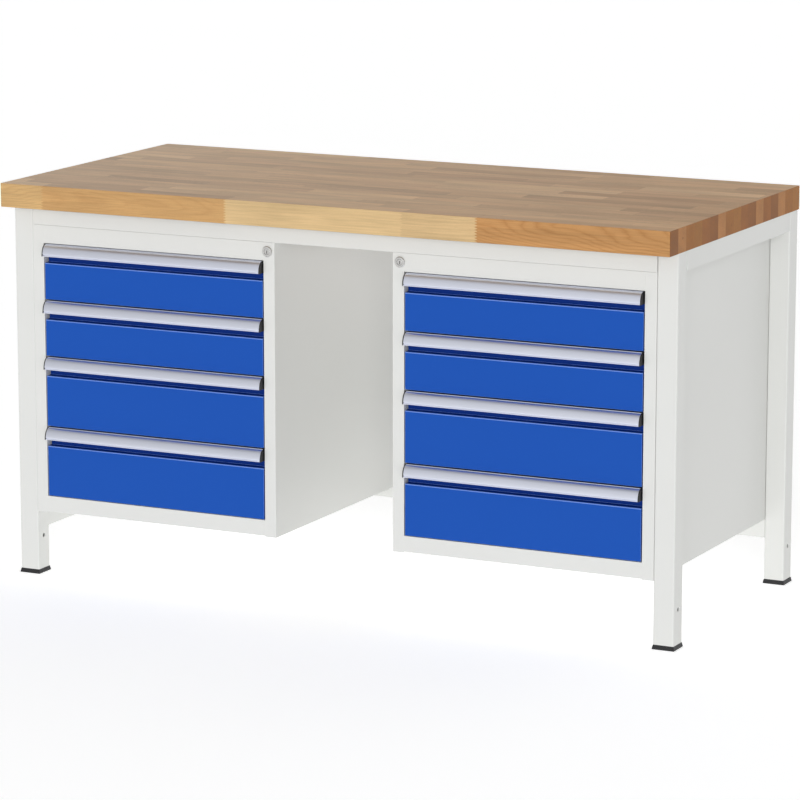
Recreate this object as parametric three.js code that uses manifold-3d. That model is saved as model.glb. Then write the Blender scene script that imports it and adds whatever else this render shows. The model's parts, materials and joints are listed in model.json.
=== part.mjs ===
// Workbench with two drawer cabinets under a beech worktop.
// Millimetres. +X runs right along the bench, +Y to the back, +Z up.
// The origin is on the floor, under the middle of the worktop.

import * as THREE from 'three';
import { mergeVertices } from 'three/addons/utils/BufferGeometryUtils.js';
import Module from 'manifold-3d';

const wasm = await Module();
wasm.setup();

// ---------------------------------------------------------------- driving dimensions

const GAP = 0.3; // left between pieces that touch
const MERGE_DISTANCE = 1e-4;
const CORNER_STEPS = 4; // sides of a rounded corner
const HOLE_STEPS = 24;
const ROUND_STEPS = 32;

const BENCH_HEIGHT = 840;
const TOP_LENGTH = 1500;
const TOP_DEPTH = 700;
const TOP_THICKNESS = 50;

const LEG_SIZE = 44;
const LEG_WALL = 2;
const LEG_RADIUS = 3;
const LEG_HOLE_RADIUS = 4.5;
const LEG_HOLE_HEIGHT = 80;
const LEG_END_INSET = 2; // from the worktop's ends and back
const FRONT_OVERHANG = 50; // worktop in front of the legs

const FOOT_HEIGHT = 9;
const FOOT_FLARE = 2; // on each side, at the floor
const FOOT_PLUG_HEIGHT = 25;

const RAIL_HEIGHT = 40;
const RAIL_DEPTH = 25;
const RAIL_WALL = 2;
const LOW_RAIL_SIZE = 40;
const LOW_RAIL_BOTTOM = 97;

const CABINET_WIDTH = 570;
const CABINET_BOTTOM = 137;
const CABINET_PAST_LEG = 12; // cabinet behind the front of the rear legs
const STRIP_BOTTOM = 139.5; // the bottom strip ends a little above the stiles
const OPENING_WIDTH = 520;
const OPENING_BOTTOM = 172;
const DRAWER_PITCHES = [120, 120, 150, 150]; // from the top
const SHEET = 1.2;
const FRAME_SHEET = 2;
const FRAME_COLLAR = 18; // folded edge behind the front frame

const FRONT_SIDE_GAP = 2.6;
const FRONT_EDGE_GAP = 1.5; // above and below each drawer
const FRONT_DEPTH = 20;
const FRONT_RECESS = 15; // finger recess above the flat blue face
const FRONT_FOLD = 42; // from the top of the pitch down to the flat face
const FRONT_LEDGE_RISE = 1.5; // slope of the ledge under the recess
const FRONT_SLOT_LIFT = 30; // slot in the front's rear skin, hidden by the tray
const FRONT_SLOT_HEIGHT = 20;
const FRONT_SLOT_INSET = 60;

const GRIP_REACH = 14; // grip strip in front of the blue face
const GRIP_HEIGHT = 25;
const GRIP_THICKNESS = 2;
const GRIP_FLANGE = 16;
const GRIP_CAP = 3;
const HOOD_STEPS = 8;

const TRAY_SIDE_GAP = 13; // room for the runners on each side
const TRAY_LENGTH = 540;
const TRAY_LIFT = 5;
const TRAY_HEADROOM = 35;

const RUNNER_LIFT = 8;
const RUNNER_HEIGHT = 28;
const RUNNER_CLEARANCE = 1.5;
const RUNNER_FRONT = -268;
const RUNNER_BACK = 270;
const POST_WIDTH = 30;
const POST_INSET = 6; // posts from the ends of the channels
const POST_LIFT = 10; // posts above the bottom strip

const LOCK_INSET = 16.3; // lock centre from the cabinet's inner side
const LOCK_DROP = 18.7; // lock centre below the cabinet's top
const LOCK_BEZEL_RADIUS = 11;
const LOCK_BEZEL_HEIGHT = 2.5;
const LOCK_BEZEL_CHAMFER = 1;
const LOCK_BARREL_RADIUS = 9;
const LOCK_BARREL_BACK = -276;
const LOCK_PLUG_RADIUS = 6;
const LOCK_PLUG_RECESS = 0.8; // plug's face behind the bezel's
const KEYWAY_WIDTH = 1.6;
const KEYWAY_DEPTH = 5;
const KEYWAY_RISE = 2;
const KEYWAY_FALL = 4;
const CAM_REACH = 16;
const CAM_WIDTH = 8;
const CAM_THICKNESS = 2;
const CAM_CLEARANCE = 1; // cam behind the bar

const BAR_WIDTH = 8;
const BAR_FRONT = -278;
const BAR_THICKNESS = 3;
const BAR_FOOT = 15; // bar's lower end above the opening's
const BAR_HEAD = 4; // bar's upper end above the opening's
const HOOK_LIFT = 60; // hook above the pitch line, unlocked
const HOOK_HEIGHT = 10;
const HOOK_CLEARANCE = 3; // hook's end from the tray's side
const CATCH_LIFT = 46;
const CATCH_HEIGHT = 12;
const CATCH_FRONT = -272.5;
const CATCH_THICKNESS = 3;
const CATCH_REACH = 9; // out from the tray's side

// ---------------------------------------------------------------- places worked out from them

const topUnderside = BENCH_HEIGHT - TOP_THICKNESS;
const frameTop = topUnderside - GAP;
const railBottom = topUnderside - RAIL_HEIGHT;
const cabinetTop = railBottom - GAP;
const frontY = -TOP_DEPTH / 2 + FRONT_OVERHANG;
const backY = TOP_DEPTH / 2 - LEG_END_INSET;
const legOuterX = TOP_LENGTH / 2 - LEG_END_INSET;
const legInnerX = legOuterX - LEG_SIZE;
const rearLegFrontY = backY - LEG_SIZE;
const frontLegBackY = frontY + LEG_SIZE;
const cabinetOuterX = legInnerX - GAP;
const cabinetInnerX = cabinetOuterX - CABINET_WIDTH;
const cabinetBackY = rearLegFrontY + CABINET_PAST_LEG;
const stileWidth = (CABINET_WIDTH - OPENING_WIDTH) / 2;
const openingInnerX = cabinetInnerX + stileWidth;
const openingOuterX = cabinetOuterX - stileWidth;
const openingTop = OPENING_BOTTOM + DRAWER_PITCHES.reduce((sum, pitch) => sum + pitch, 0);
const trayInnerX = openingInnerX + TRAY_SIDE_GAP;
const trayOuterX = openingOuterX - TRAY_SIDE_GAP;
const trayFrontY = frontY + FRONT_DEPTH + GAP;
const lockX = cabinetInnerX + LOCK_INSET;
const lockZ = cabinetTop - LOCK_DROP;

// Bottom line of each drawer's pitch, from the top drawer down.
const drawers = [];
let pitchTop = openingTop;
for (const pitch of DRAWER_PITCHES) {
  drawers.push({ bottom: pitchTop - pitch, top: pitchTop });
  pitchTop -= pitch;
}

// ---------------------------------------------------------------- materials

const finish = (color, roughness, metalness) => () =>
  new THREE.MeshStandardMaterial({ color, roughness, metalness, flatShading: true });

const beech = finish(0xb98a5e, 0.55, 0);
const greyPaint = finish(0xe3e4e1, 0.5, 0.1);
const bluePaint = finish(0x2557b8, 0.45, 0.1);
const aluminium = finish(0xcfd1da, 0.3, 0.9);
const blackPlastic = finish(0x1c1c1e, 0.6, 0);
const lockMetal = finish(0xc4c6c8, 0.25, 1);
const zincSteel = finish(0xb4b7ba, 0.4, 0.9);

// ---------------------------------------------------------------- solids

function signedVolume(geometry) {
  const a = new THREE.Vector3();
  const b = new THREE.Vector3();
  const c = new THREE.Vector3();
  const { position } = geometry.attributes;
  const index = geometry.index.array;
  let sum = 0;
  for (let i = 0; i < index.length; i += 3) {
    a.fromBufferAttribute(position, index[i]);
    b.fromBufferAttribute(position, index[i + 1]);
    c.fromBufferAttribute(position, index[i + 2]);
    sum += a.dot(b.cross(c)) / 6;
  }
  return sum;
}

// Shares vertices by position and turns every face outwards.
function closed(geometry) {
  geometry.deleteAttribute('normal');
  geometry.deleteAttribute('uv');
  const merged = mergeVertices(geometry, MERGE_DISTANCE);
  if (signedVolume(merged) < 0) {
    const index = merged.index.array;
    for (let i = 0; i < index.length; i += 3) {
      [index[i + 1], index[i + 2]] = [index[i + 2], index[i + 1]];
    }
  }
  return merged;
}

function toManifold(geometry) {
  const shared = closed(geometry);
  return new wasm.Manifold(new wasm.Mesh({
    numProp: 3,
    vertProperties: new Float32Array(shared.attributes.position.array),
    triVerts: new Uint32Array(shared.index.array),
  }));
}

function fromManifold(solid) {
  const mesh = solid.getMesh();
  const geometry = new THREE.BufferGeometry();
  geometry.setAttribute('position', new THREE.BufferAttribute(mesh.vertProperties, 3));
  geometry.setIndex(new THREE.BufferAttribute(mesh.triVerts, 1));
  return geometry;
}

const join = (first, ...others) =>
  fromManifold(others.reduce((solid, other) => solid.add(toManifold(other)), toManifold(first)));

const cut = (first, ...tools) =>
  fromManifold(tools.reduce((solid, tool) => solid.subtract(toManifold(tool)), toManifold(first)));

function box([x0, y0, z0], [x1, y1, z1]) {
  const geometry = new THREE.BoxGeometry(x1 - x0, y1 - y0, z1 - z0);
  return closed(geometry.translate((x0 + x1) / 2, (y0 + y1) / 2, (z0 + z1) / 2));
}

const outline = (points) => new THREE.Shape(points.map(([u, v]) => new THREE.Vector2(u, v)));

// The shape's two coordinates are Y and Z; it runs from x0 to x1.
function alongX(shape, x0, x1) {
  const geometry = new THREE.ExtrudeGeometry(shape, { depth: x1 - x0, bevelEnabled: false });
  const turn = new THREE.Matrix4().makeBasis(
    new THREE.Vector3(0, 1, 0), new THREE.Vector3(0, 0, 1), new THREE.Vector3(1, 0, 0));
  return closed(geometry.applyMatrix4(turn).translate(x0, 0, 0));
}

// The shape's two coordinates are X and Z; it runs from y0 to y1.
function alongY(shape, y0, y1) {
  const geometry = new THREE.ExtrudeGeometry(shape, { depth: y1 - y0, bevelEnabled: false });
  const turn = new THREE.Matrix4().makeBasis(
    new THREE.Vector3(1, 0, 0), new THREE.Vector3(0, 0, 1), new THREE.Vector3(0, -1, 0));
  return closed(geometry.applyMatrix4(turn).translate(0, y1, 0));
}

// The shape's two coordinates are X and Y; it runs from z0 to z1.
function alongZ(shape, z0, z1) {
  const settings = { depth: z1 - z0, bevelEnabled: false, curveSegments: CORNER_STEPS };
  const geometry = new THREE.ExtrudeGeometry(shape, settings);
  return closed(geometry.translate(0, 0, z0));
}

function rectangle(u0, v0, u1, v1) {
  return outline([[u0, v0], [u1, v0], [u1, v1], [u0, v1]]);
}

function tubeSection(u0, v0, u1, v1, wall) {
  const section = rectangle(u0, v0, u1, v1);
  section.holes.push(rectangle(u0 + wall, v0 + wall, u1 - wall, v1 - wall));
  return section;
}

function roundedSquare(centreX, centreY, size, radius) {
  const half = size / 2 - radius;
  const shape = new THREE.Shape();
  for (let corner = 0; corner < 4; corner += 1) {
    const start = corner * Math.PI / 2;
    const signX = corner === 0 || corner === 3 ? 1 : -1;
    const signY = corner < 2 ? 1 : -1;
    shape.absarc(centreX + signX * half, centreY + signY * half, radius, start, start + Math.PI / 2);
  }
  return shape;
}

// A piece made for the right half of the bench, or its mirror image on the left.
function onSide(geometry, side) {
  return closed(geometry.clone().scale(side, 1, 1));
}

const bench = new THREE.Group();

function place(parent, name, geometry, material) {
  const mesh = new THREE.Mesh(geometry, material());
  mesh.name = name;
  parent.add(mesh);
}

// ---------------------------------------------------------------- worktop and frame

function worktop() {
  const halfLength = TOP_LENGTH / 2;
  const halfDepth = TOP_DEPTH / 2;
  return box([-halfLength, -halfDepth, topUnderside], [halfLength, halfDepth, BENCH_HEIGHT]);
}

function leg(centreX, centreY) {
  const section = roundedSquare(centreX, centreY, LEG_SIZE, LEG_RADIUS);
  const boreSize = LEG_SIZE - 2 * LEG_WALL;
  section.holes.push(roundedSquare(centreX, centreY, boreSize, LEG_RADIUS - LEG_WALL));
  const tube = alongZ(section, FOOT_HEIGHT + GAP, frameTop);
  const drillLength = 1.5 * LEG_SIZE;
  const drill = new THREE.CylinderGeometry(LEG_HOLE_RADIUS, LEG_HOLE_RADIUS, drillLength, HOLE_STEPS);
  drill.rotateZ(Math.PI / 2).translate(centreX, centreY, LEG_HOLE_HEIGHT);
  return cut(tube, drill);
}

// Square base that widens towards the floor, with a plug up inside the tube.
function foot(centreX, centreY) {
  const topRadius = LEG_SIZE / Math.SQRT2;
  const bottomRadius = (LEG_SIZE + 2 * FOOT_FLARE) / Math.SQRT2;
  const base = new THREE.CylinderGeometry(topRadius, bottomRadius, FOOT_HEIGHT, 4);
  base.rotateY(Math.PI / 4).rotateX(Math.PI / 2).translate(centreX, centreY, FOOT_HEIGHT / 2);
  const plugSize = LEG_SIZE - 2 * (LEG_WALL + GAP);
  const plugSection = roundedSquare(centreX, centreY, plugSize, LEG_RADIUS);
  return join(base, alongZ(plugSection, FOOT_HEIGHT / 2, FOOT_HEIGHT + FOOT_PLUG_HEIGHT));
}

function buildFrame() {
  place(bench, 'worktop', worktop(), beech);
  for (const [sideName, side] of [['left', -1], ['right', 1]]) {
    const centreX = side * (legInnerX + LEG_SIZE / 2);
    const ends = [['front', frontY + LEG_SIZE / 2], ['rear', backY - LEG_SIZE / 2]];
    for (const [endName, centreY] of ends) {
      place(bench, `${endName}_${sideName}_leg`, leg(centreX, centreY), greyPaint);
      place(bench, `${endName}_${sideName}_foot`, foot(centreX, centreY), blackPlastic);
    }
    const section = tubeSection(legOuterX - RAIL_DEPTH, railBottom, legOuterX, frameTop, RAIL_WALL);
    const rail = alongY(section, frontLegBackY + GAP, rearLegFrontY - GAP);
    place(bench, `${sideName}_top_rail`, onSide(rail, side), greyPaint);
  }

  const railEnd = legInnerX - GAP;
  const frontSection = tubeSection(frontY, railBottom, frontY + RAIL_DEPTH, frameTop, RAIL_WALL);
  place(bench, 'front_top_rail', alongX(frontSection, -railEnd, railEnd), greyPaint);
  const rearSection = tubeSection(backY - RAIL_DEPTH, railBottom, backY, frameTop, RAIL_WALL);
  place(bench, 'rear_top_rail', alongX(rearSection, -railEnd, railEnd), greyPaint);

  const inset = (LEG_SIZE - LOW_RAIL_SIZE) / 2;
  const lowTop = LOW_RAIL_BOTTOM + LOW_RAIL_SIZE - 2 * GAP;
  const lowRail = (from, to) => tubeSection(from, LOW_RAIL_BOTTOM, to, lowTop, RAIL_WALL);
  const rearLow = alongX(lowRail(rearLegFrontY + inset, backY - inset), -railEnd, railEnd);
  place(bench, 'rear_lower_rail', rearLow, greyPaint);
  const leftLowSection = lowRail(-legOuterX + inset, -legInnerX - inset);
  const leftLow = alongY(leftLowSection, frontLegBackY + GAP, rearLegFrontY - GAP);
  place(bench, 'left_lower_rail', leftLow, greyPaint);
}

// ---------------------------------------------------------------- cabinet shell

// Welded frame of stiles and strips, with a folded collar behind the opening's edge.
function frontFrame() {
  const face = outline([
    [cabinetInnerX, CABINET_BOTTOM], [openingInnerX, CABINET_BOTTOM],
    [openingInnerX, STRIP_BOTTOM], [openingOuterX, STRIP_BOTTOM],
    [openingOuterX, CABINET_BOTTOM], [cabinetOuterX, CABINET_BOTTOM],
    [cabinetOuterX, cabinetTop], [cabinetInnerX, cabinetTop],
  ]);
  face.holes.push(rectangle(openingInnerX, OPENING_BOTTOM, openingOuterX, openingTop));
  const lockHole = new THREE.Path();
  lockHole.absarc(lockX, lockZ, LOCK_BARREL_RADIUS + GAP, 0, 2 * Math.PI);
  face.holes.push(lockHole);
  const collar = tubeSection(
    openingInnerX - FRAME_SHEET, OPENING_BOTTOM - FRAME_SHEET,
    openingOuterX + FRAME_SHEET, openingTop + FRAME_SHEET, FRAME_SHEET);
  return join(
    alongY(face, frontY, frontY + FRAME_SHEET),
    alongY(collar, frontY + FRAME_SHEET / 2, frontY + FRAME_SHEET + FRAME_COLLAR));
}

// C-shaped channel whose web overlaps the wall it is welded to.
function channelSection(wallX, mouthX, low, high) {
  const towards = Math.sign(mouthX - wallX);
  const back = wallX - towards * SHEET / 2;
  const web = wallX + towards * SHEET;
  return outline([
    [back, low], [mouthX, low], [mouthX, low + SHEET], [web, low + SHEET],
    [web, high - SHEET], [mouthX, high - SHEET], [mouthX, high], [back, high],
  ]);
}

// Two U-shaped posts that carry one C-shaped channel for each drawer.
function runnerRack(wallX, channelX, mouthX) {
  const towards = Math.sign(channelX - wallX);
  const pieces = [];
  for (const postY of [RUNNER_FRONT + POST_INSET, RUNNER_BACK - POST_INSET - POST_WIDTH]) {
    const web = channelX - towards * SHEET;
    const post = outline([
      [wallX, postY], [channelX, postY], [channelX, postY + POST_WIDTH], [wallX, postY + POST_WIDTH],
      [wallX, postY + POST_WIDTH - SHEET], [web, postY + POST_WIDTH - SHEET],
      [web, postY + SHEET], [wallX, postY + SHEET],
    ]);
    pieces.push(alongZ(post, STRIP_BOTTOM + POST_LIFT, openingTop));
  }
  for (const drawer of drawers) {
    const low = drawer.bottom + RUNNER_LIFT;
    const high = low + RUNNER_HEIGHT;
    pieces.push(alongY(channelSection(channelX, mouthX, low, high), RUNNER_FRONT, RUNNER_BACK));
  }
  return join(...pieces);
}

function buildCabinetShell(sideName, side) {
  const add = (name, geometry, material) =>
    place(bench, `${sideName}_cabinet_${name}`, onSide(geometry, side), material);
  const wallFront = frontY + FRAME_SHEET + GAP;
  const sidePanel = (x) =>
    box([x, wallFront, CABINET_BOTTOM], [x + SHEET, cabinetBackY, cabinetTop]);
  add('front_frame', frontFrame(), greyPaint);
  add('outer_side', sidePanel(cabinetOuterX - SHEET), greyPaint);
  add('inner_side', sidePanel(cabinetInnerX), greyPaint);

  const low = cabinetInnerX + SHEET + GAP;
  const high = cabinetOuterX - SHEET - GAP;
  const backFront = cabinetBackY - SHEET;
  add('back', box([low, backFront, CABINET_BOTTOM], [high, cabinetBackY, cabinetTop]), greyPaint);
  const bottom = box([low, wallFront, STRIP_BOTTOM - SHEET], [high, backFront - GAP, STRIP_BOTTOM]);
  add('bottom', bottom, greyPaint);

  const reach = TRAY_SIDE_GAP - RUNNER_CLEARANCE;
  add('inner_runner_rack', runnerRack(low, openingInnerX, openingInnerX + reach), zincSteel);
  add('outer_runner_rack', runnerRack(high, openingOuterX, openingOuterX - reach), zincSteel);
}

// ---------------------------------------------------------------- lock

function ringProfile(points) {
  const profile = points.map(([radius, y]) => new THREE.Vector2(radius, y));
  const ring = new THREE.LatheGeometry([...profile, profile[0]], ROUND_STEPS);
  return closed(ring.translate(lockX, 0, lockZ));
}

function lockHousing() {
  const bore = LOCK_PLUG_RADIUS + GAP;
  const bezelBack = frontY - GAP;
  const bezelFront = bezelBack - LOCK_BEZEL_HEIGHT;
  return ringProfile([
    [bore, LOCK_BARREL_BACK], [LOCK_BARREL_RADIUS, LOCK_BARREL_BACK],
    [LOCK_BARREL_RADIUS, bezelBack], [LOCK_BEZEL_RADIUS, bezelBack],
    [LOCK_BEZEL_RADIUS, bezelFront + LOCK_BEZEL_CHAMFER],
    [LOCK_BEZEL_RADIUS - LOCK_BEZEL_CHAMFER, bezelFront], [bore, bezelFront],
  ]);
}

// Plug with its keyway and the cam that works the lock bar.
function lockPlug() {
  const face = frontY - GAP - LOCK_BEZEL_HEIGHT + LOCK_PLUG_RECESS;
  const camFront = BAR_FRONT + BAR_THICKNESS + CAM_CLEARANCE;
  const camBack = camFront + CAM_THICKNESS;
  const length = camBack - face;
  const core = new THREE.CylinderGeometry(LOCK_PLUG_RADIUS, LOCK_PLUG_RADIUS, length, ROUND_STEPS);
  core.translate(lockX, face + length / 2, lockZ);
  const camSection = rectangle(lockX, lockZ - CAM_WIDTH / 2, lockX + CAM_REACH, lockZ + CAM_WIDTH / 2);
  const keyway = box(
    [lockX - KEYWAY_WIDTH / 2, face - KEYWAY_DEPTH, lockZ - KEYWAY_FALL],
    [lockX + KEYWAY_WIDTH / 2, face + KEYWAY_DEPTH, lockZ + KEYWAY_RISE]);
  return cut(join(core, alongY(camSection, camFront, camBack)), keyway);
}

// Flat bar behind the stile, with a hook for each drawer's catch.
function lockBar() {
  const barX = lockX - BAR_WIDTH / 2;
  const barBack = BAR_FRONT + BAR_THICKNESS;
  const strip = box(
    [barX, BAR_FRONT, OPENING_BOTTOM + BAR_FOOT], [barX + BAR_WIDTH, barBack, openingTop + BAR_HEAD]);
  const hooks = drawers.map(({ bottom }) => {
    const hookLow = bottom + HOOK_LIFT;
    const hookEnd = trayInnerX - HOOK_CLEARANCE;
    return box([lockX, BAR_FRONT, hookLow], [hookEnd, barBack, hookLow + HOOK_HEIGHT]);
  });
  return join(strip, ...hooks);
}

function buildLock(sideName, side) {
  place(bench, `${sideName}_lock_housing`, onSide(lockHousing(), side), lockMetal);
  place(bench, `${sideName}_lock_plug`, onSide(lockPlug(), side), lockMetal);
  place(bench, `${sideName}_lock_bar`, onSide(lockBar(), side), zincSteel);
}

// ---------------------------------------------------------------- drawers

// Open sheet tray with a runner member on each side and the catch for the lock bar.
function tray({ bottom, top }) {
  const low = bottom + TRAY_LIFT;
  const high = top - TRAY_HEADROOM;
  const trayBackY = trayFrontY + TRAY_LENGTH;
  const shell = box([trayInnerX, trayFrontY, low], [trayOuterX, trayBackY, high]);
  const hollow = box(
    [trayInnerX + SHEET, trayFrontY + SHEET, low + SHEET],
    [trayOuterX - SHEET, trayBackY - SHEET, high + SHEET]);

  const inset = SHEET + RUNNER_CLEARANCE;
  const memberLow = bottom + RUNNER_LIFT + inset;
  const memberHigh = bottom + RUNNER_LIFT + RUNNER_HEIGHT - inset;
  const member = (wallX, mouthX) =>
    alongY(channelSection(wallX, mouthX, memberLow, memberHigh), trayFrontY, trayBackY);
  const innerMember = member(trayInnerX, openingInnerX + inset);
  const outerMember = member(trayOuterX, openingOuterX - inset);

  const catchLow = bottom + CATCH_LIFT;
  const lockCatch = box(
    [trayInnerX - CATCH_REACH, CATCH_FRONT, catchLow],
    [trayInnerX + SHEET / 2, CATCH_FRONT + CATCH_THICKNESS, catchLow + CATCH_HEIGHT]);
  return join(cut(shell, hollow), innerMember, outerMember, lockCatch);
}

// Double-skinned blue front with closed ends and a finger recess under the grip strip.
function drawerFront({ bottom, top }) {
  const low = bottom + FRONT_EDGE_GAP;
  const fold = top - FRONT_FOLD;
  const high = top - FRONT_EDGE_GAP - GRIP_THICKNESS - GAP;
  const recessY = frontY + FRONT_RECESS;
  const rearY = frontY + FRONT_DEPTH;
  const ledge = fold + FRONT_LEDGE_RISE;
  const x0 = openingInnerX + FRONT_SIDE_GAP;
  const x1 = openingOuterX - FRONT_SIDE_GAP;
  const outside = outline([
    [rearY, low], [rearY, high], [recessY, high], [recessY, ledge], [frontY, fold], [frontY, low],
  ]);
  const inside = outline([
    [rearY - SHEET, low + SHEET], [rearY - SHEET, high - SHEET],
    [recessY + SHEET, high - SHEET], [recessY + SHEET, ledge - SHEET],
    [frontY + SHEET, fold - SHEET], [frontY + SHEET, low + SHEET],
  ]);
  const slotLow = bottom + FRONT_SLOT_LIFT;
  const slot = box(
    [x0 + FRONT_SLOT_INSET, rearY - 2 * SHEET, slotLow],
    [x1 - FRONT_SLOT_INSET, rearY + SHEET, slotLow + FRONT_SLOT_HEIGHT]);
  return cut(alongX(outside, x0, x1), alongX(inside, x0 + SHEET, x1 - SHEET), slot);
}

// Points of the curved hood, from its lower lip up to the drawer's face.
function hoodArc(top, reach, height) {
  const points = [];
  for (let step = 0; step <= HOOD_STEPS; step += 1) {
    const angle = (step / HOOD_STEPS) * Math.PI / 2;
    points.push([frontY - reach * Math.cos(angle), top - GRIP_HEIGHT + height * Math.sin(angle)]);
  }
  return points;
}

// Hooded grip strip across the whole drawer, closed at both ends by its caps.
function gripStrip({ top }) {
  const high = top - FRONT_EDGE_GAP;
  const webLow = high - GRIP_THICKNESS;
  const flangeBack = frontY + FRONT_RECESS - GAP;
  const flangeFront = flangeBack - GRIP_THICKNESS;
  const rearY = frontY + FRONT_DEPTH;
  const outer = hoodArc(high, GRIP_REACH, GRIP_HEIGHT);
  const inner = hoodArc(high, GRIP_REACH - GRIP_THICKNESS, GRIP_HEIGHT - GRIP_THICKNESS);
  const section = outline([
    ...outer, [rearY, high], [rearY, webLow], [flangeBack, webLow], [flangeBack, high - GRIP_FLANGE],
    [flangeFront, high - GRIP_FLANGE], [flangeFront, webLow], ...inner.reverse(),
  ]);
  const capSection = outline([...outer, [flangeBack, high], [flangeBack, high - GRIP_HEIGHT]]);
  const x0 = openingInnerX + FRONT_SIDE_GAP;
  const x1 = openingOuterX - FRONT_SIDE_GAP;
  const caps = [alongX(capSection, x0, x0 + GRIP_CAP), alongX(capSection, x1 - GRIP_CAP, x1)];
  return join(alongX(section, x0, x1), ...caps);
}

function buildDrawers(sideName, side) {
  drawers.forEach((drawer, index) => {
    const name = `${sideName}_drawer_${index + 1}`;
    place(bench, `${name}_tray`, onSide(tray(drawer), side), greyPaint);
    place(bench, `${name}_front`, onSide(drawerFront(drawer), side), bluePaint);
    place(bench, `${name}_grip`, onSide(gripStrip(drawer), side), aluminium);
  });
}

// ---------------------------------------------------------------- the bench

buildFrame();
for (const [sideName, side] of [['left', -1], ['right', 1]]) {
  buildCabinetShell(sideName, side);
  buildLock(sideName, side);
  buildDrawers(sideName, side);
}

export default bench;
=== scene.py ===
import json
import math
import random
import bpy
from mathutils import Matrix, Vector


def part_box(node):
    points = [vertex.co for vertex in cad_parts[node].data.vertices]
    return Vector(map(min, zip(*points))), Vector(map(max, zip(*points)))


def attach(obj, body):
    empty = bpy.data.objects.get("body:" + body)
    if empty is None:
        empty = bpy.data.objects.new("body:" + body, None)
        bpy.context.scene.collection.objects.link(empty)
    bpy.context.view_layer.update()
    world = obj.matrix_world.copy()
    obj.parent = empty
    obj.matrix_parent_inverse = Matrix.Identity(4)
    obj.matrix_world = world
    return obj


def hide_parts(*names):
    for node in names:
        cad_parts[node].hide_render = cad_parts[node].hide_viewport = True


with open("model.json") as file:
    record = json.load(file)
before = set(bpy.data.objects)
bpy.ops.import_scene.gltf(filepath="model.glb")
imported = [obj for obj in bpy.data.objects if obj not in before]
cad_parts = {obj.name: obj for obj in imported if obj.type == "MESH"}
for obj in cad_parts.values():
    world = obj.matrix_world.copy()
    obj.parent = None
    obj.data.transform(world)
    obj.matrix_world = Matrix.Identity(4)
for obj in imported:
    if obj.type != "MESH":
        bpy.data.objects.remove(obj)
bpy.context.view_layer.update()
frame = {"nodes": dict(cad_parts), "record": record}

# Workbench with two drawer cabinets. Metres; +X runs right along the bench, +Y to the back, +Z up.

from types import SimpleNamespace

import bmesh
import bpy
from mathutils import Vector

nodes = frame["nodes"]
MM = 0.001
SIDES = ("left", "right")
DRAWERS = (1, 2, 3, 4)


# ---------------------------------------------------------------- nodes

# Noise seldom leaves this range.
NOISE_LOW, NOISE_HIGH = 0.33, 0.67


def new_material(name, metallic=0.0):
    material = bpy.data.materials.new(name)
    material.use_nodes = True
    tree = material.node_tree
    shader = tree.nodes["Principled BSDF"]
    shader.inputs["Metallic"].default_value = metallic
    return material, tree, shader


def add(tree, kind, inputs=None, **settings):
    """A node with its settings; an input is a number, a colour or another node's socket."""
    node = tree.nodes.new(kind)
    for key, value in settings.items():
        setattr(node, key, value)
    for key, value in (inputs or {}).items():
        if isinstance(value, bpy.types.NodeSocket):
            tree.links.new(value, node.inputs[key])
        else:
            node.inputs[key].default_value = value
    return node


def calc(tree, operation, a, b=0.0):
    return add(tree, "ShaderNodeMath", {0: a, 1: b}, operation=operation).outputs[0]


def product(tree, first, *others):
    for factor in others:
        first = calc(tree, "MULTIPLY", first, factor)
    return first


def ramp(tree, value, start, end, low=0.0, high=1.0):
    """value runs from start to end and comes out from low to high."""
    inputs = {"Value": value, "From Min": start, "From Max": end, "To Min": low, "To Max": high}
    return add(tree, "ShaderNodeMapRange", inputs).outputs[0]


def rescale(tree, value, low, high):
    """value runs from 0 to 1 and comes out from low to high."""
    return ramp(tree, value, 0.0, 1.0, low, high)


def contrast(tree, value, swing):
    """Noise stretched to a factor of one minus swing to one plus swing."""
    return ramp(tree, value, NOISE_LOW, NOISE_HIGH, 1 - swing, 1 + swing)


def blend_number(tree, factor, a, b):
    """From a to b by factor; the Mix node has its numbers in sockets 2 and 3."""
    return add(tree, "ShaderNodeMix", {0: factor, 2: a, 3: b}, data_type="FLOAT").outputs[0]


def tint(tree, blend, factor, a, b):
    """Blends colour b into colour a; the Mix node has its colours in sockets 6 and 7."""
    inputs = {0: factor, 6: a, 7: b}
    return add(tree, "ShaderNodeMix", inputs, data_type="RGBA", blend_type=blend).outputs[2]


def shaded(tree, tone, shade):
    """The tone times a grey factor."""
    grey = add(tree, "ShaderNodeCombineColor", {0: shade, 1: shade, 2: shade}).outputs[0]
    return tint(tree, "MULTIPLY", 1.0, tone, grey)


def place_in_metres(tree):
    return add(tree, "ShaderNodeTexCoord").outputs["Object"]


def split(tree, vector):
    return add(tree, "ShaderNodeSeparateXYZ", {0: vector}).outputs


def channels(tree, colour):
    return add(tree, "ShaderNodeSeparateColor", {0: colour}).outputs


def noise(tree, vector, scale, detail=2.0, roughness=0.5):
    inputs = {"Vector": vector, "Scale": scale, "Detail": detail, "Roughness": roughness}
    return add(tree, "ShaderNodeTexNoise", inputs).outputs[0]


def grain_noise(tree, vector, scales, detail=2.0, roughness=0.5):
    """Noise with its own scale along X, Y and Z."""
    mapping = add(tree, "ShaderNodeMapping", {"Vector": vector, "Scale": scales})
    return noise(tree, mapping.outputs[0], 1.0, detail, roughness)


def surface(tree, shader, colour, roughness, height, relief):
    """Feeds the shader its colour, its roughness and a bump as deep as relief."""
    tree.links.new(colour, shader.inputs["Base Color"])
    tree.links.new(roughness, shader.inputs["Roughness"])
    bump = add(tree, "ShaderNodeBump", {"Height": height, "Distance": relief, "Strength": 1.0})
    tree.links.new(bump.outputs[0], shader.inputs["Normal"])


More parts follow.
